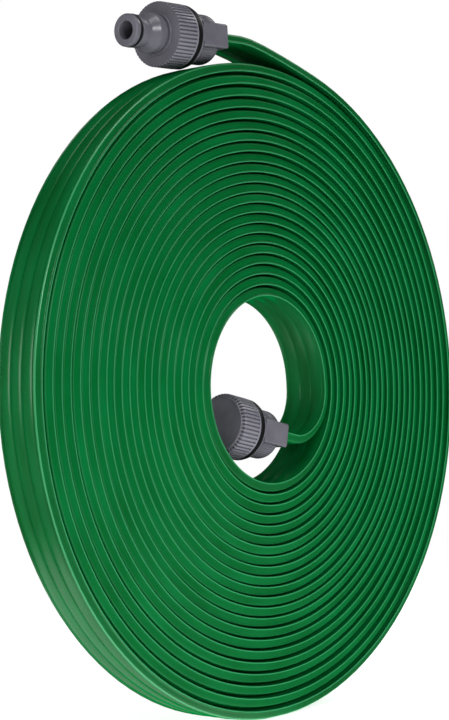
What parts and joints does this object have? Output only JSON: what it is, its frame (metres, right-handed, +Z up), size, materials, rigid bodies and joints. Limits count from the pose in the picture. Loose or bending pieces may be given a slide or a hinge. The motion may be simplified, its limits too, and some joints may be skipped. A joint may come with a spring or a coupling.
{
  "type": "soaker hose",
  "caption": "Flat soaker hose wound in an upright spiral coil, with a screwed quick-connect inlet at its outer end and a screwed blanking cap at its inner end.",
  "frame": {"origin": "middle of the whole from side to side and from front to back, level with the small flat that the coil stands on", "axes": "+X to the right and +Z up as seen from the coil's front; the inlet points to -X; +Y runs from the front edge of the strip to its back edge"},
  "size_m": [0.3362, 0.032, 0.3577],
  "materials": {
    "green_hose": "semi-gloss soft PVC",
    "grey_plastic": "satin moulded plastic",
    "black_rubber": "smooth rubber"
  },
  "bodies": {
    "coil": {"hose_strip": "green_hose", "inlet_housing": "grey_plastic", "inlet_insert": "grey_plastic", "inlet_seal_ring": "black_rubber", "end_housing": "grey_plastic", "end_insert": "grey_plastic", "end_seal_ring": "black_rubber"},
    "inlet_gasket_body": {"inlet_gasket": "black_rubber"},
    "inlet_cap_body": {"inlet_nipple_cap": "grey_plastic", "nipple_o_ring": "black_rubber"},
    "end_gasket_body": {"end_gasket": "black_rubber"},
    "end_cap_body": {"end_cap": "grey_plastic"}
  },
  "joints": [
    {"name": "inlet_cap_travel", "type": "slide", "parent": "coil", "child": "inlet_gasket_body", "axis": [-0.9989, 0, -0.0471], "range_m": [0, 0.0059]},
    {"name": "inlet_cap_turn", "type": "hinge", "parent": "inlet_gasket_body", "child": "inlet_cap_body", "pos_m": [-0.06397, 0, 0.34121], "axis": [-0.9989, 0, -0.0471], "range_deg": [0, 1170]},
    {"name": "end_cap_travel", "type": "slide", "parent": "coil", "child": "end_gasket_body", "axis": [-0.9816, 0, 0.1908], "range_m": [0, 0.0037]},
    {"name": "end_cap_turn", "type": "hinge", "parent": "end_gasket_body", "child": "end_cap_body", "pos_m": [-0.0234, 0, 0.14839], "axis": [-0.9816, 0, 0.1908], "range_deg": [0, 720]}
  ],
  "couplings": [
    {"joint": "inlet_cap_travel", "follows": "inlet_cap_turn", "m_per_rad": 0.0002887},
    {"joint": "end_cap_travel", "follows": "end_cap_turn", "m_per_rad": 0.0002887}
  ]
}
